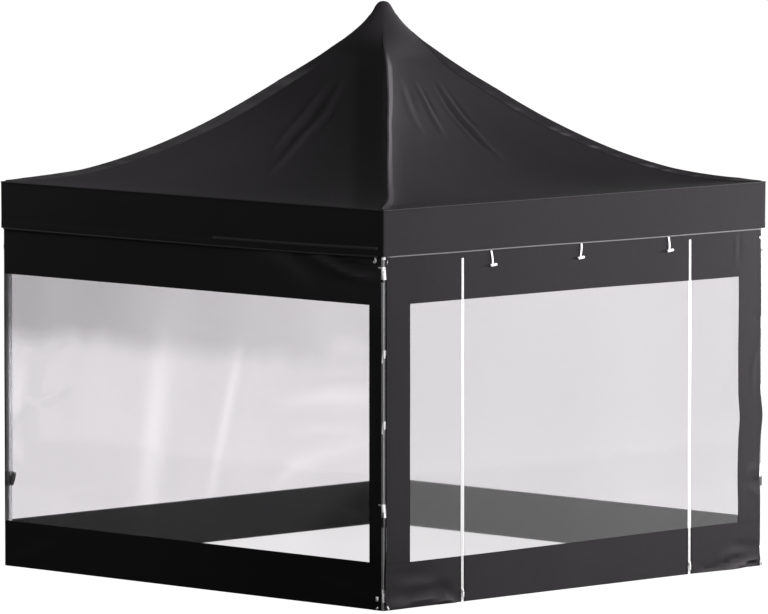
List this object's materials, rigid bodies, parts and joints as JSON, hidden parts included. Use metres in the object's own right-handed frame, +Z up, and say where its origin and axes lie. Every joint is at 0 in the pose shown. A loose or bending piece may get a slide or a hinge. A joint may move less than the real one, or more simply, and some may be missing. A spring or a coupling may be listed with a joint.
{
  "type": "folding party tent",
  "caption": "Square folding party tent: a peaked dark roof with a valance, cloth side walls with wide clear windows, and a roll-up door between zips.",
  "frame": {"origin": "on the ground under the middle of the roof", "axes": "+Z up; the wall with the roll-up door faces -Y; +X to the right seen from the front"},
  "size_m": [3, 3, 3.148],
  "materials": {
    "polyester_cloth": "matt coated weave, near-black",
    "clear_film": "clear flexible film",
    "zip_white": "white zip tape and teeth",
    "leg_aluminium": "satin",
    "bracket_nylon": "moulded, black"
  },
  "bodies": {
    "tent": {"roof_skin": "polyester_cloth", "valance_front": "polyester_cloth", "valance_right": "polyester_cloth", "valance_back": "polyester_cloth", "valance_left": "polyester_cloth", "wall_left_cloth": "polyester_cloth", "wall_back_cloth": "polyester_cloth", "wall_right_cloth": "polyester_cloth", "wall_front_left_cloth": "polyester_cloth", "wall_front_right_cloth": "polyester_cloth", "door_top_band": "polyester_cloth", "door_bottom_band": "polyester_cloth", "wall_left_window": "clear_film", "wall_back_window": "clear_film", "wall_right_window": "clear_film", "wall_front_left_window": "clear_film", "wall_front_right_window": "clear_film", "door_window": "clear_film", "door_zip_left": "zip_white", "door_zip_right": "zip_white", "leg_outer_front_left": "leg_aluminium", "leg_outer_front_right": "leg_aluminium", "leg_outer_back_right": "leg_aluminium", "leg_outer_back_left": "leg_aluminium", "truss_front": "leg_aluminium", "truss_right": "leg_aluminium", "truss_back": "leg_aluminium", "truss_left": "leg_aluminium", "roof_arm_front": "leg_aluminium", "roof_arm_right": "leg_aluminium", "roof_arm_back": "leg_aluminium", "roof_arm_left": "leg_aluminium", "mast": "leg_aluminium", "height_lock_front_left": "bracket_nylon", "height_lock_front_right": "bracket_nylon", "height_lock_back_right": "bracket_nylon", "height_lock_back_left": "bracket_nylon", "leg_slider_front_left": "bracket_nylon", "leg_slider_front_right": "bracket_nylon", "leg_slider_back_right": "bracket_nylon", "leg_slider_back_left": "bracket_nylon", "top_bracket_front_left": "bracket_nylon", "top_bracket_front_right": "bracket_nylon", "top_bracket_back_right": "bracket_nylon", "top_bracket_back_left": "bracket_nylon", "mast_cap": "bracket_nylon", "hub_upper": "bracket_nylon", "hub_lower": "bracket_nylon"},
    "lower_leg_front_left": {"leg_inner_front_left": "leg_aluminium"},
    "lower_leg_front_right": {"leg_inner_front_right": "leg_aluminium"},
    "lower_leg_back_right": {"leg_inner_back_right": "leg_aluminium"},
    "lower_leg_back_left": {"leg_inner_back_left": "leg_aluminium"}
  },
  "joints": [
    {"name": "leg_height_front_left", "type": "slide", "parent": "tent", "child": "lower_leg_front_left", "axis": [0, 0, 1], "range_m": [0, 0.4]},
    {"name": "leg_height_front_right", "type": "slide", "parent": "tent", "child": "lower_leg_front_right", "axis": [0, 0, 1], "range_m": [0, 0.4]},
    {"name": "leg_height_back_right", "type": "slide", "parent": "tent", "child": "lower_leg_back_right", "axis": [0, 0, 1], "range_m": [0, 0.4]},
    {"name": "leg_height_back_left", "type": "slide", "parent": "tent", "child": "lower_leg_back_left", "axis": [0, 0, 1], "range_m": [0, 0.4]}
  ]
}
